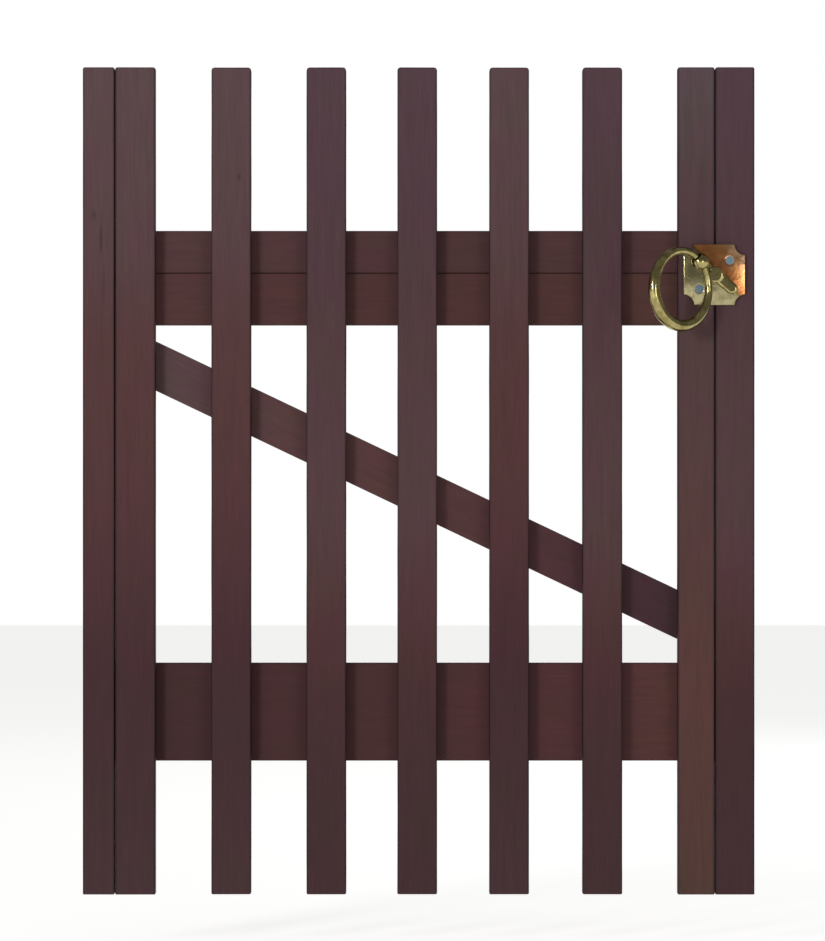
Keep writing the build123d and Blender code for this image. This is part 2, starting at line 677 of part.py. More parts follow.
# ---- back plate: a bearing for the spindle, with a stop lug under the lifter ----
with BuildPart() as back_plate:
    with BuildSketch(Plane.XZ.offset(-back_plate_rear_y)):
        with Locations((spindle_x, spindle_z)):
            RectangleRounded(back_plate_size, back_plate_size, plate_corner)
            Circle(spindle_radius + fit, mode=Mode.SUBTRACT)
    extrude(amount=back_plate_thickness)
    drill(facing_front(back_screw_points, back_plate_rear_y),
          small_screw_radius + screw_clearance, back_plate_thickness)
    countersink(facing_front(back_screw_points, back_plate_rear_y),
                small_screw_head, small_screw_radius)
    lug_z = spindle_z + lifter_top - lifter_depth - moving_gap - stop_lug_depth
    with Locations((spindle_x - lifter_reach, back_plate_rear_y, lug_z)):
        Box(stop_lug_length, lifter_thickness, stop_lug_depth,
            align=(Align.MIN, Align.MIN, Align.MIN))
back_plate.part.label = "latch_back_plate"
export_step(back_plate.part, "parts/latch_back_plate.step")

back_screws = countersunk_screws(
    facing_front(back_screw_points, back_plate_rear_y),
    small_screw_radius, small_screw_head, small_screw_length)
back_screws.part.label = "back_plate_screws"
export_step(back_screws.part, "parts/back_plate_screws.step")

# ---- pivot plate and bolt of the fall bar ----
pivot_plate_rear_y = rear_y + pivot_plate_thickness
pivot_plate_plane = Plane.XZ.offset(-pivot_plate_rear_y)
with BuildPart() as pivot_plate:
    with BuildSketch(pivot_plate_plane):
        with Locations((bar_pivot_x, bar_pivot_z - pivot_plate_drop)):
            RectangleRounded(pivot_plate_width, pivot_plate_height, plate_corner)
    extrude(amount=pivot_plate_thickness)
    drill(facing_front([(bar_pivot_x, bar_pivot_z)], pivot_plate_rear_y),
          bar_pivot_radius + screw_clearance, pivot_plate_thickness)
    drill(facing_front(pivot_screw_points, pivot_plate_rear_y),
          small_screw_radius + screw_clearance, pivot_plate_thickness)
    countersink(facing_front(pivot_screw_points, pivot_plate_rear_y),
                small_screw_head, small_screw_radius)
pivot_plate.part.label = "bar_pivot_plate"
export_step(pivot_plate.part, "parts/bar_pivot_plate.step")

pivot_screws = countersunk_screws(
    facing_front(pivot_screw_points, pivot_plate_rear_y),
    small_screw_radius, small_screw_head, small_screw_length)
pivot_screws.part.label = "pivot_plate_screws"
export_step(pivot_screws.part, "parts/pivot_plate_screws.step")

head_front_y = bar_rear_y + moving_gap
with BuildPart() as pivot_bolt:
    with BuildSketch(Plane.XZ.offset(-head_front_y)):
        with Locations((bar_pivot_x, bar_pivot_z)):
            Circle(bar_pivot_radius)
    extrude(amount=head_front_y - rear_y + bar_bolt_length)
    with BuildSketch(Plane.XZ.offset(-(head_front_y + bar_pivot_head_height))):
        with Locations((bar_pivot_x, bar_pivot_z)):
            Circle(bar_pivot_head)
    extrude(amount=bar_pivot_head_height)
    fillet(pivot_bolt.faces().sort_by(Axis.Y)[-1].edges(), bar_pivot_head_rounding)
    with Locations((bar_pivot_x, head_front_y + bar_pivot_head_height, bar_pivot_z)):
        Box(1.6 * bar_pivot_head, bar_pivot_slot_width, bar_pivot_slot_depth, mode=Mode.SUBTRACT)
pivot_bolt.part.label = "bar_pivot_bolt"
export_step(pivot_bolt.part, "parts/bar_pivot_bolt.step")

# ---- fall bar and its knob ----
bar_plane = Plane.XZ.offset(-bar_rear_y)
knob_x = bar_pivot_x + knob_distance
with BuildPart() as fall_bar:
    with BuildSketch(bar_plane):
        with Locations(((bar_pivot_x - bar_tail + bar_nose_x) / 2, bar_pivot_z)):
            Rectangle(bar_nose_x - bar_pivot_x + bar_tail, bar_height)
    extrude(amount=bar_thickness)
    nose_edges = fall_bar.edges().filter_by(Axis.Y).group_by(Axis.X)[-1]
    chamfer(nose_edges.sort_by(Axis.Z)[0], bar_nose_chamfer)
    fillet(fall_bar.edges().filter_by(Axis.Y).group_by(Axis.X)[0], bar_height * 0.45)
    drill(facing_front([(bar_pivot_x, bar_pivot_z)], bar_rear_y),
          bar_pivot_radius + fit, bar_thickness)
    drill(facing_front([(knob_x, bar_pivot_z)], bar_rear_y), knob_neck_radius, bar_thickness)
fall_bar.part.label = "fall_bar"
export_step(fall_bar.part, "parts/fall_bar.step")

knob_neck_length = bar_thickness + knob_standoff
with BuildPart() as knob:
    with BuildSketch(Plane(origin=(knob_x, bar_front_y, bar_pivot_z), x_dir=(1, 0, 0),
                           z_dir=(0, 1, 0))):
        Circle(knob_neck_radius)
    extrude(amount=knob_neck_length)
    with Locations(Plane(origin=(knob_x, bar_front_y + knob_neck_length, bar_pivot_z),
                         z_dir=(0, 1, 0))):
        Cone(knob_neck_radius + knob_flare_step, knob_radius, knob_flare,
             align=(Align.CENTER, Align.CENTER, Align.MIN))
    with Locations(Plane(origin=(knob_x, bar_front_y + knob_neck_length + knob_flare, bar_pivot_z),
                         z_dir=(0, 1, 0))):
        Cylinder(knob_radius, knob_cap, align=(Align.CENTER, Align.CENTER, Align.MIN))
    fillet(knob.faces().sort_by(Axis.Y)[-1].edges(), knob_cap * 0.7)
knob.part.label = "bar_knob"
export_step(knob.part, "parts/bar_knob.step")

# ---- guide: a strap bent over the bar, with a foot above and below ----
guide_inner_y = bar_rear_y + guide_rear_clearance
with BuildPart() as guide:
    with BuildSketch(Plane.YZ.offset(guide_x - guide_width / 2)):
        with BuildLine():
            Polyline(
                (rear_y, guide_low - guide_wall - guide_lower_foot),
                (rear_y, guide_low),
                (guide_inner_y, guide_low),
                (guide_inner_y, guide_high),
                (rear_y, guide_high),
                (rear_y, guide_high + guide_wall + guide_upper_foot),
                (rear_y + guide_wall, guide_high + guide_wall + guide_upper_foot),
                (rear_y + guide_wall, guide_high + guide_wall),
                (guide_inner_y + guide_wall, guide_high + guide_wall),
                (guide_inner_y + guide_wall, guide_low - guide_wall),
                (rear_y + guide_wall, guide_low - guide_wall),
                (rear_y + guide_wall, guide_low - guide_wall - guide_lower_foot),
                close=True)
        make_face()
    extrude(amount=guide_width)
    drill(facing_front(guide_screw_points, rear_y + guide_wall),
          small_screw_radius + screw_clearance, guide_wall)
    countersink(facing_front(guide_screw_points, rear_y + guide_wall),
                small_screw_head, small_screw_radius)
guide.part.label = "bar_guide"
export_step(guide.part, "parts/bar_guide.step")

guide_screws = countersunk_screws(
    facing_front(guide_screw_points, rear_y + guide_wall),
    small_screw_radius, small_screw_head, small_screw_length)
guide_screws.part.label = "bar_guide_screws"
export_step(guide_screws.part, "parts/bar_guide_screws.step")
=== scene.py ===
# %% [markdown]
# # A garden gate with a ring latch
#
# This lesson dresses a finished mechanical model of a small picket gate. The model comes in as a fixed
# frame: every board, screw and hinge is already in its place and at its size. The cells below saw new
# boards with eased edges, stain them, cast the brass of the latch, finish the steel, and set a studio.

import json
import math

import bmesh
import bpy
from mathutils import Matrix, Vector


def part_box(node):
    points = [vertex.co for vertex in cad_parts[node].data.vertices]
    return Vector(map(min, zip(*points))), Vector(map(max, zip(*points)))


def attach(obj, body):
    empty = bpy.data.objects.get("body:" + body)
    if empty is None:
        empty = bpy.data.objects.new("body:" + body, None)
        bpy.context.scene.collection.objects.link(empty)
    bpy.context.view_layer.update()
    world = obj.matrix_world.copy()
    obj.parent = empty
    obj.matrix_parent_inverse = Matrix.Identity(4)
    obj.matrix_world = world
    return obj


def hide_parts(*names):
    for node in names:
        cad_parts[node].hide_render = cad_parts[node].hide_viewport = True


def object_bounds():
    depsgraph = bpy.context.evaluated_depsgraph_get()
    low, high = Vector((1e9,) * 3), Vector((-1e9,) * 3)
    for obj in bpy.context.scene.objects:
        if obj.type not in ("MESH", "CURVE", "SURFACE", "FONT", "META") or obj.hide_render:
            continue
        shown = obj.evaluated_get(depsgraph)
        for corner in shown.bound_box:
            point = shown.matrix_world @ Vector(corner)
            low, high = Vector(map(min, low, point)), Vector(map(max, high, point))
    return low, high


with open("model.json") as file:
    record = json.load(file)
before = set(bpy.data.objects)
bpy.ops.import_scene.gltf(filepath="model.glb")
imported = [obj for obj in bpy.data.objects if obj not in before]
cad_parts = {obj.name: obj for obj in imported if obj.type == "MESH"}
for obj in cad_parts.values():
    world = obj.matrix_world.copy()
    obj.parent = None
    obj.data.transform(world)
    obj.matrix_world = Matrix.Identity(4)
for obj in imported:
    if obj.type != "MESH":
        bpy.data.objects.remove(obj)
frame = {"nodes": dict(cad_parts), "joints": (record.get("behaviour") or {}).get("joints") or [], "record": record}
low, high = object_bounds()
body_of = {node: body for body, held in frame["record"]["behaviour"]["bodies"].items() for node in held}
slots = {part["node"]: part["material_slot"] for part in frame["record"]["subparts"]}

# %% [markdown]
# ## Small helpers
#
# Stain and metal colours are easiest to name as sRGB hex values, but a shader works in linear light, so
# one function turns the first into the second. Another adds a node with its settings and its links, and
# serves materials and Geometry Nodes alike.

# %% Helpers for colours and nodes
MM = 0.001
QUARTER = math.pi / 2


def tint(code):
    """An sRGB hex colour as linear red, green, blue and alpha."""
    parts = [int(code[i:i + 2], 16) / 255 for i in (1, 3, 5)]
    return [p / 12.92 if p <= 0.04045 else ((p + 0.055) / 1.055) ** 2.4 for p in parts] + [1.0]


def add_node(tree, kind, inputs=None, **settings):
    """Adds a node, sets its properties, and fills or links its inputs."""
    made = tree.nodes.new(kind)
    for name, value in settings.items():
        setattr(made, name, value)
    for socket, value in (inputs or {}).items():
        if isinstance(value, bpy.types.NodeSocket):
            tree.links.new(value, made.inputs[socket])
        else:
            made.inputs[socket].default_value = value
    return made


def new_finish(name):
    """An empty material: the finish, its tree and its shader."""
    finish = bpy.data.materials.new(name)
    finish.use_nodes = True
    tree = finish.node_tree
    tree.nodes.clear()
    shader = add_node(tree, "ShaderNodeBsdfPrincipled")
    add_node(tree, "ShaderNodeOutputMaterial", {"Surface": shader.outputs[0]})
    return finish, tree, shader


def wear(piece, finish):
    """Gives a piece one finish."""
    piece.data.materials.clear()
    piece.data.materials.append(finish)


def colour_stops(ramp, stops):
    """Fills a colour ramp from a list of places and hex colours."""
    made = ramp.color_ramp.elements
    while len(made) < len(stops):
        made.new(1.0)
    for stop, (place, code) in zip(made, stops):
        stop.position = place
        stop.color = tint(code)


print("helpers ready; mahogany stain in linear light is", [round(v, 3) for v in tint("#5A3B3A")])

# %% [markdown]
# ## Running a Geometry Nodes tree
#
# A tree with named inputs works like a small machine: set the sizes, run it, and take out a plain mesh.
# Each input is set by its socket's identifier, because two sockets may share a name. The modifier goes
# once the mesh is made, so that the finished piece has nothing live on it.


# %% A helper that grows a piece from a tree
def new_tree(name, sizes):
    """A Geometry Nodes tree with named inputs, and the outputs of its input node."""
    tree = bpy.data.node_groups.new(name, "GeometryNodeTree")
    tree.interface.new_socket("Geometry", in_out="OUTPUT", socket_type="NodeSocketGeometry")
    for label, kind in sizes.items():
        tree.interface.new_socket(label, in_out="INPUT", socket_type=f"NodeSocket{kind}")
    return tree, add_node(tree, "NodeGroupInput").outputs


def close_tree(tree, geometry, finish):
    """Ends a tree: real geometry, with its finish."""
    real = add_node(tree, "GeometryNodeRealizeInstances", {"Geometry": geometry})
    worn = add_node(tree, "GeometryNodeSetMaterial", {
        "Geometry": real.outputs[0], "Material": finish})
    add_node(tree, "NodeGroupOutput", {"Geometry": worn.outputs[0]})


def plain_mesh(holder):
    """The holder's mesh with its modifiers applied; the holder goes."""
    view = bpy.context.evaluated_depsgraph_get()
    mesh = bpy.data.meshes.new_from_object(
        holder.evaluated_get(view), preserve_all_data_layers=True, depsgraph=view)
    bpy.data.objects.remove(holder)
    return mesh


def grow(name, tree, sizes, easing=None):
    """Runs a tree with its sizes, eases the marked edges, and returns a plain piece."""
    holder = bpy.data.objects.new(f"{name}_holder", bpy.data.meshes.new(name))
    bpy.context.scene.collection.objects.link(holder)
    machine = holder.modifiers.new("tree", "NODES")
    machine.node_group = tree
    for socket in tree.interface.items_tree:
        if socket.in_out == "INPUT":
            machine[socket.identifier] = sizes[socket.name]
    if easing:
        plane = holder.modifiers.new("ease", "BEVEL")
        plane.limit_method = "WEIGHT"
        plane.width = easing
        plane.segments = 3
        plane.harden_normals = True
    piece = bpy.data.objects.new(name, plain_mesh(holder))
    bpy.context.scene.collection.objects.link(piece)
    piece.data.name = name
    return piece


print("trees can be run")

# %% [markdown]
# ## A planed board
#
# A gate board is sawn, planed and run over with a plane along its corners, which leaves the small
# rounding that joiners call an arris. Planed softwood still moves as it dries, so no edge is quite
# straight. A cube of small faces gives that freedom: the tree measures how near each edge of the mesh
# is to the board's own edges, marks those for easing, and lets the surface wander inward by a fraction
# of a millimetre. The top corners get the larger rounding that sheds rain.

# %% Build the board tree
ACROSS, DEEP, LONG = 8, 4, 116      # a board's rows of corners: its faces come out 8 mm long
AT_SIDE = 0.999                     # a corner this near the board's side, by share, lies on it
ARRIS_SHARE = 0.5                   # an arris, over the top corners' rounding
DRIFT = 90 * MM                     # from one swelling of a board to the next

board_tree, board = new_tree("planed_board", {
    "Middle": "Vector", "Size": "Vector", "Wander": "Float", "Seed": "Float", "Finish": "Material"})
blank = add_node(board_tree, "GeometryNodeMeshCube", {
    "Size": board["Size"], "Vertices X": ACROSS, "Vertices Y": DEEP, "Vertices Z": LONG})
spot = add_node(board_tree, "GeometryNodeInputPosition")
half_size = add_node(board_tree, "ShaderNodeVectorMath", {
    0: board["Size"], "Scale": 0.5}, operation="SCALE")
share = add_node(board_tree, "ShaderNodeVectorMath", {
    0: spot.outputs[0], 1: half_size.outputs[0]}, operation="DIVIDE")
shares = add_node(board_tree, "ShaderNodeSeparateXYZ", {0: share.outputs[0]})
reach = add_node(board_tree, "ShaderNodeVectorMath", {0: share.outputs[0]}, operation="ABSOLUTE")
reaches = add_node(board_tree, "ShaderNodeSeparateXYZ", {0: reach.outputs[0]})
at = [add_node(board_tree, "ShaderNodeMath", {0: out, 1: AT_SIDE}, operation="GREATER_THAN").outputs[0]
      for out in reaches.outputs]
two = add_node(board_tree, "ShaderNodeMath", {0: at[0], 1: at[1]}, operation="ADD")
three = add_node(board_tree, "ShaderNodeMath", {0: two.outputs[0], 1: at[2]}, operation="ADD")
on_edge = add_node(board_tree, "ShaderNodeMath", {0: three.outputs[0], 1: 1.5}, operation="GREATER_THAN")
arris = add_node(board_tree, "ShaderNodeMath", {
    0: on_edge.outputs[0], 1: ARRIS_SHARE}, operation="MULTIPLY")
at_top = add_node(board_tree, "ShaderNodeMath", {
    0: shares.outputs["Z"], 1: AT_SIDE}, operation="GREATER_THAN")
top_corner = add_node(board_tree, "ShaderNodeMath", {0: at_top.outputs[0], 1: at[0]}, operation="MULTIPLY")
weight = add_node(board_tree, "ShaderNodeMath", {
    0: arris.outputs[0], 1: top_corner.outputs[0]}, operation="MAXIMUM")
marked = add_node(board_tree, "GeometryNodeStoreNamedAttribute", {
    "Geometry": blank.outputs["Mesh"], "Name": "bevel_weight_edge", "Value": weight.outputs[0]},
    data_type="FLOAT", domain="EDGE")
drift = add_node(board_tree, "ShaderNodeTexNoise", {
    "Vector": spot.outputs[0], "W": board["Seed"], "Scale": 1 / DRIFT, "Detail": 2.0},
    noise_dimensions="4D")
inward = add_node(board_tree, "ShaderNodeVectorMath", {
    0: share.outputs[0], 1: drift.outputs["Color"]}, operation="MULTIPLY")
back = add_node(board_tree, "ShaderNodeMath", {0: board["Wander"], 1: -1.0}, operation="MULTIPLY")
shift = add_node(board_tree, "ShaderNodeVectorMath", {
    0: inward.outputs[0], "Scale": back.outputs[0]}, operation="SCALE")
wandered = add_node(board_tree, "GeometryNodeSetPosition", {
    "Geometry": marked.outputs[0], "Offset": shift.outputs[0]})
placed = add_node(board_tree, "GeometryNodeTransform", {
    "Geometry": wandered.outputs[0], "Translation": board["Middle"]})
close_tree(board_tree, placed.outputs[0], board["Finish"])
print("the board tree has", len(board_tree.nodes), "nodes")

# %% [markdown]
# ## Stained redwood
#
# The boards are planed European redwood under a satin mahogany woodstain. The stain is a thin film, so
# the wood still shows through it: slow clouds where it took unevenly, purple in one place and brown in
# the next, and fine streaks along the grain. A darker line along each edge is painted shade, where the
# rounded arris turns from the light. The colour runs paler and greyer towards the top and darker at the foot.
# The grain has to run along each board, so a Mapping node stretches every pattern in the board's own
# direction. No two boards take stain alike, so each gets its own place in the pattern.


# %% Build the woodstain
CLOUD = 35 * MM             # across one cloud of stain; it is half as long again
GROWTH_RING = 6 * MM        # from one band of slow growth to the next
STREAK = 1.3 * MM           # real streaks are finer, and these are as fine as the view shows
EDGE_SHADE_WIDTH = 1.9 * MM             # width of the painted shade along an arris


def woodstain(name, span_tones, span, lean=0.0, place=0.0, edge=None, knots=()):
    """Satin mahogany woodstain on planed redwood.

    span_tones: colours from one end of span to the other. lean: the grain's turn from upright.
    edge: the axis across the board, its middle, its half width and the depth of the painted shade on its arris.
    knots: place, half width, half length and depth of each.
    """
    finish, tree, shader = new_finish(name)
    where = add_node(tree, "ShaderNodeTexCoord").outputs["Object"]
    turned = add_node(tree, "ShaderNodeMapping", {
        "Vector": where, "Rotation": (0, lean, 0), "Location": (place, place * 0.7, place * 1.3)})
    # colours from foot to top, or from end to end; on the uprights, paler and greyer at the top and darker at the
    # foot
    axis, start, end = span
    apart = add_node(tree, "ShaderNodeSeparateXYZ", {0: where})
    along = add_node(tree, "ShaderNodeMapRange", {
        "Value": apart.outputs[axis], "From Min": start, "From Max": end})
    span_tone = add_node(tree, "ShaderNodeValToRGB", {"Fac": along.outputs[0]})
    colour_stops(span_tone, span_tones)
    span_tone.color_ramp.interpolation = "B_SPLINE"
    # clouds in the stain, purple against brown
    cloud_place = add_node(tree, "ShaderNodeMapping", {
        "Vector": turned.outputs[0], "Scale": (1.0, 1.0, 0.6)})
    clouds = add_node(tree, "ShaderNodeTexNoise", {
        "Vector": cloud_place.outputs[0], "Scale": 1 / CLOUD, "Detail": 3.0,
        "Roughness": 0.6, "Distortion": 0.4})
    cloud_share = add_node(tree, "ShaderNodeMapRange", {
        "Value": clouds.outputs["Fac"], "From Min": 0.35, "From Max": 0.65})
    cloud_tone = add_node(tree, "ShaderNodeMix", {
        "Factor": cloud_share.outputs[0], "A": (1.05, 0.94, 1.05, 1.0), "B": (0.98, 1.03, 0.94, 1.0)},
        data_type="RGBA")
    clouded = add_node(tree, "ShaderNodeVectorMath", {
        0: span_tone.outputs[0], 1: cloud_tone.outputs["Result"]}, operation="MULTIPLY")
    # growth rings: bands that wander along the board
    ring_place = add_node(tree, "ShaderNodeMapping", {
        "Vector": turned.outputs[0], "Scale": (1.0, 1.0, 0.09)})
    rings = add_node(tree, "ShaderNodeTexNoise", {
        "Vector": ring_place.outputs[0], "Scale": 1 / GROWTH_RING, "Detail": 2.0, "Distortion": 0.8})
    # grain streaks
    streak_place = add_node(tree, "ShaderNodeMapping", {
        "Vector": turned.outputs[0], "Scale": (1.0, 1.0, 0.03)})
    streaks = add_node(tree, "ShaderNodeTexNoise", {
        "Vector": streak_place.outputs[0], "Scale": 1 / STREAK, "Detail": 2.0})
    ring_dark = add_node(tree, "ShaderNodeMapRange", {
        "Value": rings.outputs["Fac"], "From Min": 0.3, "From Max": 0.7, "To Min": 0.93, "To Max": 1.07})
    streak_dark = add_node(tree, "ShaderNodeMapRange", {
        "Value": streaks.outputs["Fac"], "From Min": 0.3, "From Max": 0.7, "To Min": 0.93, "To Max": 1.07})
    shade = add_node(tree, "ShaderNodeMath", {
        0: ring_dark.outputs[0], 1: streak_dark.outputs[0]}, operation="MULTIPLY")
    if edge:
        # painted shade: a darker line along the arris, where the rounded edge turns away from the light
        side, middle, half, depth = edge
        off = add_node(tree, "ShaderNodeMath", {0: apart.outputs[side], 1: middle}, operation="SUBTRACT")
        out = add_node(tree, "ShaderNodeMath", {0: off.outputs[0]}, operation="ABSOLUTE")
        ragged = add_node(tree, "ShaderNodeMath", {
            0: streaks.outputs["Fac"], 1: 1.5 * MM, 2: out.outputs[0]}, operation="MULTIPLY_ADD")
        painted_edge_shade = add_node(tree, "ShaderNodeMapRange", {
            "Value": ragged.outputs[0], "From Min": half - EDGE_SHADE_WIDTH, "From Max": half + 0.2 * MM,
            "To Min": 1.0, "To Max": 1 - depth})
        shade = add_node(tree, "ShaderNodeMath", {
            0: shade.outputs[0], 1: painted_edge_shade.outputs[0]}, operation="MULTIPLY")
    for spot_place, wide, long, strength in knots:
        # a knot or a resin streak: a dark oval drawn out along the grain
        away = add_node(tree, "ShaderNodeVectorMath", {0: where, 1: spot_place}, operation="SUBTRACT")
        bent = add_node(tree, "ShaderNodeVectorMath", {
            0: clouds.outputs["Color"], "Scale": wide}, operation="SCALE")
        loose = add_node(tree, "ShaderNodeVectorMath", {
            0: away.outputs[0], 1: bent.outputs[0]}, operation="ADD")
        oval = add_node(tree, "ShaderNodeVectorMath", {
            0: loose.outputs[0], 1: (wide, 1.0, long)}, operation="DIVIDE")
        far = add_node(tree, "ShaderNodeVectorMath", {0: oval.outputs[0]}, operation="LENGTH")
        mark = add_node(tree, "ShaderNodeMapRange", {
            "Value": far.outputs["Value"], "From Min": 0.3, "From Max": 1.4,
            "To Min": 1 - strength, "To Max": 1.0})
        shade = add_node(tree, "ShaderNodeMath", {
            0: shade.outputs[0], 1: mark.outputs[0]}, operation="MULTIPLY")
    grained = add_node(tree, "ShaderNodeVectorMath", {
        0: clouded.outputs[0], "Scale": shade.outputs[0]}, operation="SCALE")
    tree.links.new(grained.outputs[0], shader.inputs["Base Color"])
    sheen = add_node(tree, "ShaderNodeMapRange", {
        "Value": streaks.outputs["Fac"], "To Min": 0.42, "To Max": 0.62})
    tree.links.new(sheen.outputs[0], shader.inputs["Roughness"])
    ridges = add_node(tree, "ShaderNodeBump", {
        "Height": streaks.outputs["Fac"], "Strength": 0.3, "Distance": 0.25 * MM})
    swells = add_node(tree, "ShaderNodeBump", {
        "Height": rings.outputs["Fac"], "Strength": 0.4, "Distance": 0.5 * MM,
        "Normal": ridges.outputs[0]})
    tree.links.new(swells.outputs[0], shader.inputs["Normal"])
    shader.inputs["Specular IOR Level"].default_value = 0.2
    return finish


print("the woodstain can be mixed")

# %% [markdown]
# ## The uprights
#
# Two boards edge to edge make each stile, and five pickets stand between the stiles. They came out of
# the stain in two batches, one warmer than the other, and the latch stile's inner board is a browner
# piece of timber. Each new board takes the exact box of the one in the frame and stands for it.

# %% Saw and stain the uprights
foot, top = low.z, high.z
# each list of colours runs from the foot to the top: darker at the foot, paler and greyer at the top
WARM = [(0.0, "#3E2629"), (0.24, "#351A1F"), (0.36, "#402025"), (0.48, "#49292A"),
        (0.68, "#4A2B2B"), (0.76, "#4B3335"), (1.0, "#503B3E")]
COOL = [(0.0, "#3A2124"), (0.2, "#391F22"), (0.32, "#452324"), (0.45, "#4B3437"),
        (0.68, "#472E31"), (0.76, "#442D32"), (1.0, "#4A333C")]
BROWN = [(0.0, "#463129"), (0.22, "#50302C"), (0.36, "#4B302C"), (0.5, "#4E3333"),
         (0.66, "#483233"), (0.85, "#483134"), (1.0, "#4F4145")]
batches = {
    "hinge_stile_outer_board": WARM, "hinge_stile_inner_board": WARM,
    "picket_1": WARM, "picket_2": COOL, "picket_3": COOL, "picket_4": WARM, "picket_5": COOL,
    "latch_stile_inner_board": BROWN, "latch_stile_outer_board": COOL,
}
STILE_WANDER, PICKET_WANDER = 0.3 * MM, 0.7 * MM        # stile boards were planed true to close up
STILE_EASING, PICKET_EASING = 2.2 * MM, 3.4 * MM        # rounding of the top corners
ARRIS_SHADE_DEPTH = 0.65                                       # depth of the painted shade on the uprights' arrises
PATTERN_STEP = 0.37                                     # from one board's place in the pattern to the next

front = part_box("picket_1")[0].y
outer_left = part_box("hinge_stile_outer_board")[0].x
picket_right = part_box("picket_1")[1].x
marks = {   # knots and resin streaks: place, half width, half length, depth of colour
    "hinge_stile_outer_board": [
        ((outer_left + 21 * MM, front, top - 190 * MM), 1.6 * MM, 16 * MM, 0.45),
        ((outer_left + 14 * MM, front, top - 162 * MM), 3.0 * MM, 5 * MM, 0.3),
        ((outer_left + 24 * MM, front, top - 238 * MM), 2.0 * MM, 22 * MM, 0.2)],
    "picket_1": [((picket_right - 12 * MM, front, top - 120 * MM), 2.2 * MM, 4 * MM, 0.35)],
    "picket_4": [((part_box("picket_4")[0].x + 30 * MM, front, foot + 210 * MM), 2 * MM, 5 * MM, 0.2)],
}
for i, (node, batch) in enumerate(batches.items()):
    in_stile = "stile" in node
    corner_low, corner_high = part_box(node)
    middle = (corner_low + corner_high) / 2
    size = corner_high - corner_low
    stain = woodstain(
        f"mahogany_woodstain_{node}", batch, ("Z", foot, top), place=PATTERN_STEP * i,
        edge=("X", middle.x, size.x / 2, ARRIS_SHADE_DEPTH), knots=marks.get(node, ()))
    plank = grow(f"planed_{node}", board_tree, {
        "Middle": middle, "Size": size, "Wander": STILE_WANDER if in_stile else PICKET_WANDER,
        "Seed": float(i), "Finish": stain}, easing=STILE_EASING if in_stile else PICKET_EASING)
    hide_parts(node)
    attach(plank, body_of[node])
print(len(batches), "uprights, the last of", len(plank.data.polygons), "faces")

# %% [markdown]
# ## Rails and brace
#
# The rails lie behind the uprights, where less weather reaches them, so their stain is redder and more
# even. They keep the mesh of the frame, because its countersunk holes hold the screws. Only the
# direction of the grain differs: along the rails, and along the slope of the brace.

# %% Stain the rails and the brace
rails = {
    "upper_rail_top_board": [(0.0, "#4D2F30"), (0.3, "#46292A"), (0.7, "#432626"), (1.0, "#503132")],
    "upper_rail_bottom_board": [(0.0, "#4D2B2D"), (0.3, "#462625"), (0.7, "#442623"), (1.0, "#4E322A")],
    "lower_rail": [(0.0, "#34181B"), (0.3, "#402021"), (0.7, "#472426"), (1.0, "#512F2A")],
}
RAIL_SHADE_DEPTH = 0.15            # the painted shade on the rails' edges is faint
BRACE_DEPTH = 54 * MM       # the upright cut at each end of the brace

rail_low, rail_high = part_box("lower_rail")
for i, (node, batch) in enumerate(rails.items()):
    corner_low, corner_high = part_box(node)
    wear(frame["nodes"][node], woodstain(
        f"mahogany_woodstain_{node}", batch, ("X", rail_low.x, rail_high.x), lean=QUARTER,
        place=2.1 + i, edge=("Z", (corner_low.z + corner_high.z) / 2,
                             (corner_high.z - corner_low.z) / 2, RAIL_SHADE_DEPTH)))
brace_low, brace_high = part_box("brace")
brace_fall = math.atan2(brace_high.z - brace_low.z - BRACE_DEPTH, brace_high.x - brace_low.x)
wear(frame["nodes"]["brace"], woodstain(
    "mahogany_woodstain_brace", [(0.0, "#503B40"), (0.3, "#4E302E"), (0.6, "#4E2D2E"),
                                 (0.8, "#3D1F27"), (1.0, "#352026")],
    ("X", brace_low.x, brace_high.x), lean=QUARTER - brace_fall, place=5.3))
print("the brace falls", round(math.degrees(brace_fall), 1), "degrees")
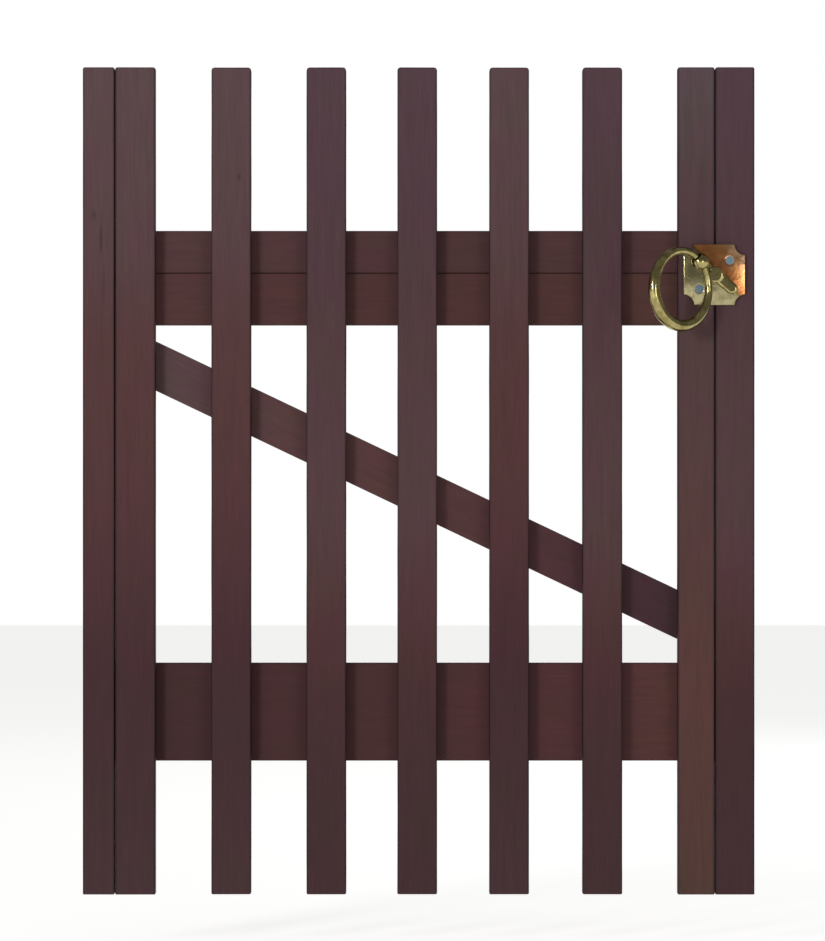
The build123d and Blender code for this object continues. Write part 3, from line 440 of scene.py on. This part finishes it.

# %% [markdown]
# ## Cast brass
#
# The ring, its boss and the rose are sand-cast brass, filed, polished and then toned by years of hands.
# Polished casting is never as flat as sheet: the shine follows slow undulations left by the mould. On the
# rose a painted reflection and highlight run from olive at its lower left through a dark band to warm
# and pale copper at its upper right. The darker the room in front of it, the more a metal shows its
# shape, because most of what the eye sees in it is the room.


# %% Build the metals
def metal(name, pale, dark, roughness, patch=9.0, skin=0.6, relief=0.05, painted_reflection=None):
    """A metal with patches of tone, and fine relief left by how it was made.

    patch, skin and relief: size of a patch, and width and depth of the relief, in millimetres.
    painted_reflection: the middle of the piece, the colours of a painted reflection and highlight across it, and
    their reach.
    """
    finish, tree, shader = new_finish(name)
    where = add_node(tree, "ShaderNodeTexCoord").outputs["Object"]
    tone = add_node(tree, "ShaderNodeTexNoise", {
        "Vector": where, "Scale": 1 / (patch * MM), "Detail": 3.0, "Distortion": 0.5})
    share_dark = add_node(tree, "ShaderNodeMapRange", {
        "Value": tone.outputs["Fac"], "From Min": 0.35, "From Max": 0.65})
    colour = add_node(tree, "ShaderNodeMix", {
        "Factor": share_dark.outputs[0], "A": tint(pale), "B": tint(dark)}, data_type="RGBA")
    seen = colour.outputs["Result"]
    if painted_reflection:
        # painted reflection and highlight, across the piece from its lower left to its upper right: olive, a dark
        # band, then warm and pale copper
        middle, stops, reach = painted_reflection
        away = add_node(tree, "ShaderNodeVectorMath", {0: where, 1: middle}, operation="SUBTRACT")
        apart = add_node(tree, "ShaderNodeSeparateXYZ", {0: away.outputs[0]})
        rise = add_node(tree, "ShaderNodeMath", {
            0: apart.outputs["X"], 1: apart.outputs["Z"]}, operation="ADD")
        reflection_place = add_node(tree, "ShaderNodeMath", {
            0: tone.outputs["Fac"], 1: 0.4 * reach, 2: rise.outputs[0]}, operation="MULTIPLY_ADD")
        left = add_node(tree, "ShaderNodeMapRange", {
            "Value": reflection_place.outputs[0], "From Min": 0.2 * reach, "From Max": 1.2 * reach})
        coat = add_node(tree, "ShaderNodeValToRGB", {"Fac": left.outputs[0]})
        colour_stops(coat, stops)
        reflection_mask = add_node(tree, "ShaderNodeMapRange", {
            "Value": left.outputs[0], "From Max": 0.15})
        with_reflection = add_node(tree, "ShaderNodeMix", {
            "Factor": reflection_mask.outputs[0], "A": seen, "B": coat.outputs[0]}, data_type="RGBA")
        seen = with_reflection.outputs["Result"]
    tree.links.new(seen, shader.inputs["Base Color"])
    polish = add_node(tree, "ShaderNodeMapRange", {
        "Value": tone.outputs["Fac"], "From Min": 0.3, "From Max": 0.7,
        "To Min": roughness * 0.7, "To Max": roughness * 1.35})
    tree.links.new(polish.outputs[0], shader.inputs["Roughness"])
    pores = add_node(tree, "ShaderNodeTexNoise", {
        "Vector": where, "Scale": 1 / (skin * MM), "Detail": 2.0})
    bump = add_node(tree, "ShaderNodeBump", {
        "Height": pores.outputs["Fac"], "Strength": 0.35, "Distance": relief * MM})
    tree.links.new(bump.outputs[0], shader.inputs["Normal"])
    shader.inputs["Metallic"].default_value = 1.0
    return finish


def powder_coat(name, pale, dark):
    """Black powder coat, baked on steel: satin, with the fine orange peel of melted powder."""
    finish, tree, shader = new_finish(name)
    where = add_node(tree, "ShaderNodeTexCoord").outputs["Object"]
    dust = add_node(tree, "ShaderNodeTexNoise", {
        "Vector": where, "Scale": 1 / (14 * MM), "Detail": 4.0})
    colour = add_node(tree, "ShaderNodeMix", {
        "Factor": dust.outputs["Fac"], "A": tint(pale), "B": tint(dark)}, data_type="RGBA")
    tree.links.new(colour.outputs["Result"], shader.inputs["Base Color"])
    rough = add_node(tree, "ShaderNodeMapRange", {
        "Value": dust.outputs["Fac"], "From Min": 0.3, "From Max": 0.7, "To Min": 0.38, "To Max": 0.55})
    tree.links.new(rough.outputs[0], shader.inputs["Roughness"])
    peel = add_node(tree, "ShaderNodeTexNoise", {
        "Vector": where, "Scale": 1 / (1.2 * MM), "Detail": 1.0})
    bump = add_node(tree, "ShaderNodeBump", {
        "Height": peel.outputs["Fac"], "Strength": 0.4, "Distance": 0.12 * MM})
    tree.links.new(bump.outputs[0], shader.inputs["Normal"])
    return finish


rose_low, rose_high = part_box("rose_plate")
rose_middle = (rose_low + rose_high) / 2
cast_brass = metal("cast_polished_brass", "#B5AA74", "#8F8352", 0.16, skin=5.0, relief=0.35)
# the rose's brass carries a painted reflection and highlight: a dark band, then warm and pale copper towards its
# upper right
rose_brass = metal("cast_brass_painted_reflection", "#A59B76", "#857C58", 0.2, skin=7.0, relief=0.5,
                   painted_reflection=(rose_middle, [(0.0, "#857C58"), (0.12, "#5A4A2C"), (0.24, "#C07C4A"),
                                          (0.7, "#D9975F"), (1.0, "#EDC193")], 50 * MM))
finishes = {
    "brass": cast_brass,
    "zinc_screws": metal("blue_passivated_zinc", "#9FB3BE", "#76909F", 0.32, patch=4.0),
    "bright_steel": metal("turned_steel", "#B8B6B2", "#8F8D8A", 0.28, patch=6.0, skin=0.5),
    "galvanised_steel": metal("galvanised_steel", "#AEB3B6", "#868C90", 0.42, patch=5.0, skin=1.2),
    "black_steel": powder_coat("black_powder_coat", "#232325", "#141415"),
}
for node, slot in slots.items():
    if slot in finishes:
        wear(frame["nodes"][node], finishes[slot])
print("metal on", sum(slot in finishes for slot in slots.values()), "pieces")

# %% [markdown]
# ## Rose and boss
#
# A casting has no sharp edge: sand won't hold one, and the polishing mop takes off what is left. The
# frame's rose and boss are drawn crisp, so each gets a skin of small even faces over its own shape, by
# voxel remeshing, and a little smoothing that rounds every corner at once.


# %% Soften the castings
def cast(node, finish, grain, rounds):
    """A casting of a node's shape: small faces of one size, smoothed. It stands for the node."""
    mould = bpy.data.objects.new(f"{node}_mould", frame["nodes"][node].data.copy())
    bpy.context.scene.collection.objects.link(mould)
    joined = bmesh.new()
    joined.from_mesh(mould.data)
    bmesh.ops.remove_doubles(joined, verts=joined.verts, dist=0.001 * MM)
    joined.to_mesh(mould.data)
    joined.free()
    skin = mould.modifiers.new("skin", "REMESH")
    skin.mode = "VOXEL"
    skin.voxel_size = grain
    mop = mould.modifiers.new("mop", "SMOOTH")
    mop.factor = 0.5
    mop.iterations = rounds
    piece = bpy.data.objects.new(f"cast_{node}", plain_mesh(mould))
    bpy.context.scene.collection.objects.link(piece)
    piece.data.shade_smooth()
    wear(piece, finish)
    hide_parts(node)
    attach(piece, body_of[node])
    return piece


rose = cast("rose_plate", rose_brass, grain=0.5 * MM, rounds=5)
boss = cast("ring_boss", cast_brass, grain=0.4 * MM, rounds=4)
print("the rose has", len(rose.data.polygons), "faces and the boss", len(boss.data.polygons))

# %% [markdown]
# ## The ring
#
# The ring is thin where it runs through its eye and swells to a comfortable grip opposite. That is a
# rule, so Geometry Nodes follow it: a circle, a radius that grows with the distance from the eye, and a
# round profile swept along. A fraction of a millimetre of unevenness shows that it was filed by hand.

# %% Sweep the ring
ring_tree, ring = new_tree("swelling_ring", {
    "Radius": "Float", "Thin": "Float", "Thick": "Float", "Filing": "Float", "Finish": "Material"})
hoop = add_node(ring_tree, "GeometryNodeCurvePrimitiveCircle", {
    "Resolution": 160, "Radius": ring["Radius"]})
how_far = add_node(ring_tree, "GeometryNodeSplineParameter")
angle = add_node(ring_tree, "ShaderNodeMath", {
    0: how_far.outputs["Factor"], 1: 2 * math.pi}, operation="MULTIPLY")
towards_eye = add_node(ring_tree, "ShaderNodeMath", {0: angle.outputs[0]}, operation="COSINE")
section = add_node(ring_tree, "ShaderNodeMapRange", {
    "Value": towards_eye.outputs[0], "From Min": 1.0, "From Max": -1.0,
    "To Min": ring["Thin"], "To Max": ring["Thick"]})
outline = add_node(ring_tree, "GeometryNodeCurvePrimitiveCircle", {"Resolution": 32, "Radius": 1.0})
swept = add_node(ring_tree, "GeometryNodeCurveToMesh", {
    "Curve": hoop.outputs["Curve"], "Profile Curve": outline.outputs["Curve"],
    "Scale": section.outputs[0]})
outwards = add_node(ring_tree, "GeometryNodeInputNormal")
file_marks = add_node(ring_tree, "ShaderNodeTexNoise", {"Scale": 1 / (14 * MM), "Detail": 1.0})
cut = add_node(ring_tree, "ShaderNodeMath", {
    0: file_marks.outputs["Fac"], 1: ring["Filing"]}, operation="MULTIPLY")
cut_inward = add_node(ring_tree, "ShaderNodeMath", {0: cut.outputs[0], 1: -1.0}, operation="MULTIPLY")
filing = add_node(ring_tree, "ShaderNodeVectorMath", {
    0: outwards.outputs[0], "Scale": cut_inward.outputs[0]}, operation="SCALE")
filed = add_node(ring_tree, "GeometryNodeSetPosition", {
    "Geometry": swept.outputs[0], "Offset": filing.outputs[0]})
smooth = add_node(ring_tree, "GeometryNodeSetShadeSmooth", {"Geometry": filed.outputs[0]})
close_tree(ring_tree, smooth.outputs[0], ring["Finish"])

RING_RADIUS = 41.2 * MM     # to the middle of its section
RING_THIN = 3.9 * MM        # radius of the section in the eye
RING_THICK = 7.1 * MM       # radius of the section opposite
FILING = 0.3 * MM           # depth of the file's work

swing = next(joint for joint in frame["joints"] if joint["name"] == "ring_swing")
eye = Vector(swing["pos_m"])
through_eye = Vector(swing["axis"]).normalized()
level = Vector((through_eye.x, through_eye.y, 0)).normalized()
ring_normal = level.cross(Vector((0, 0, 1)))
to_eye = through_eye.cross(ring_normal)
if to_eye.z < 0:
    to_eye = -to_eye
ring_low, ring_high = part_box("ring_handle")
hoop_turn = Matrix((to_eye, ring_normal.cross(to_eye), ring_normal)).transposed().to_4x4()
hand_ring = grow("cast_ring_handle", ring_tree, {
    "Radius": RING_RADIUS, "Thin": RING_THIN, "Thick": RING_THICK, "Filing": FILING,
    "Finish": cast_brass})
hand_ring.data.transform(Matrix.Translation(eye - to_eye * RING_RADIUS) @ hoop_turn)
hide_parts("ring_handle")
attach(hand_ring, body_of["ring_handle"])
across = [max(v.co[i] for v in hand_ring.data.vertices) - min(v.co[i] for v in hand_ring.data.vertices)
          for i in range(3)]
print("the ring is", [round(1000 * a, 1) for a in across], "mm, in the frame",
      [round(1000 * a, 1) for a in ring_high - ring_low])

# %% [markdown]
# ## A plain studio
#
# The gate hangs a little above a pale floor, in front of a white ground. A white sweep of cloth could
# give both, but a flat floor and a bright world need no shape at all. Polished metal sees a darker room
# than the wood does, as it would with black cloth hung behind the camera: the background's strength
# depends on the kind of ray.

# %% Set the floor and the ground
scene = bpy.context.scene
leaf_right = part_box("latch_stile_outer_board")[1].x
centre = Vector(((low.x + leaf_right) / 2, front, (foot + top) / 2))

FLOOR_DROP = 60 * MM        # from the gate's foot
FLOOR_REACH = 12.0
FLOOR_GLOW = 0.6
AMBIENT, CLOTH, GROUND = 0.32, 0.2, 1.0     # the room's strength for the wood, the metal and the view

floor_z = foot - FLOOR_DROP
floor_mesh = bpy.data.meshes.new("floor")
floor_mesh.from_pydata(
    [(x * FLOOR_REACH, y * FLOOR_REACH, floor_z) for x, y in ((-1, -1), (1, -1), (1, 1), (-1, 1))],
    [], [(0, 1, 2, 3)])
floor = bpy.data.objects.new("floor", floor_mesh)
scene.collection.objects.link(floor)
floor_finish, _, floor_shader = new_finish("pale_floor")
floor_shader.inputs["Base Color"].default_value = tint("#F4F3F1")
floor_shader.inputs["Roughness"].default_value = 0.9
floor_shader.inputs["Emission Color"].default_value = tint("#FFFFFF")
floor_shader.inputs["Emission Strength"].default_value = FLOOR_GLOW
wear(floor, floor_finish)

world = bpy.data.worlds.new("studio")
world.use_nodes = True
scene.world = world
room = world.node_tree
room.nodes.clear()
ray = add_node(room, "ShaderNodeLightPath")
ambient, cloth, ground = [
    add_node(room, "ShaderNodeBackground", {"Color": tint("#FFFFFF"), "Strength": strength}).outputs[0]
    for strength in (AMBIENT, CLOTH, GROUND)]
unlit = add_node(room, "ShaderNodeMixShader", {0: ray.outputs["Is Glossy Ray"], 1: ambient, 2: cloth})
seen = add_node(room, "ShaderNodeMixShader", {
    0: ray.outputs["Is Camera Ray"], 1: unlit.outputs[0], 2: ground})
add_node(room, "ShaderNodeOutputWorld", {"Surface": seen.outputs[0]})
print("the floor lies at", round(floor_z, 3), "m")

# %% [markdown]
# ## Lights and camera
#
# One soft box on the left throws the uprights' shadows on the rails, a weaker one fills them, and one
# behind lights the rails and the hinges from their own side. The camera's long lens, far off and
# straight in front, keeps the uprights parallel.

# %% Place the lights and the camera


def soft_box(name, place, size, power):
    """A square soft box aimed at the middle of the gate."""
    lamp = bpy.data.lights.new(name, "AREA")
    lamp.shape = "SQUARE"
    lamp.size = size
    lamp.energy = power
    holder = bpy.data.objects.new(name, lamp)
    holder.location = centre + Vector(place)
    holder.rotation_euler = (-Vector(place)).to_track_quat("-Z", "Y").to_euler()
    holder.visible_camera = False
    scene.collection.objects.link(holder)


soft_box("key", (-2.9, -4.9, 1.0), 1.1, 126)
soft_box("fill", (2.8, -4.4, 0.2), 1.2, 27)
soft_box("back", (2.6, 3.6, 1.4), 1.0, 30)

VIEW_HEIGHT = 1.039         # metres of the gate's plane that the picture's height spans
VIEW_SHIFT = (-6.8 * MM, 11.5 * MM)     # the view's middle, across and up from the gate's
LENS = 200.0
SENSOR = 36.0
stand_off = VIEW_HEIGHT * LENS / SENSOR
camera_data = bpy.data.cameras.new("camera")
camera_data.lens = LENS
camera_data.sensor_fit = "VERTICAL"
camera_data.sensor_height = SENSOR
camera = bpy.data.objects.new("camera", camera_data)
camera.location = centre + Vector((VIEW_SHIFT[0], -stand_off, VIEW_SHIFT[1]))
camera.rotation_euler = (QUARTER, 0, 0)
scene.collection.objects.link(camera)
scene.camera = camera
scene.view_settings.view_transform = "Standard"
print("the camera stands", round(stand_off, 2), "m in front of the gate")
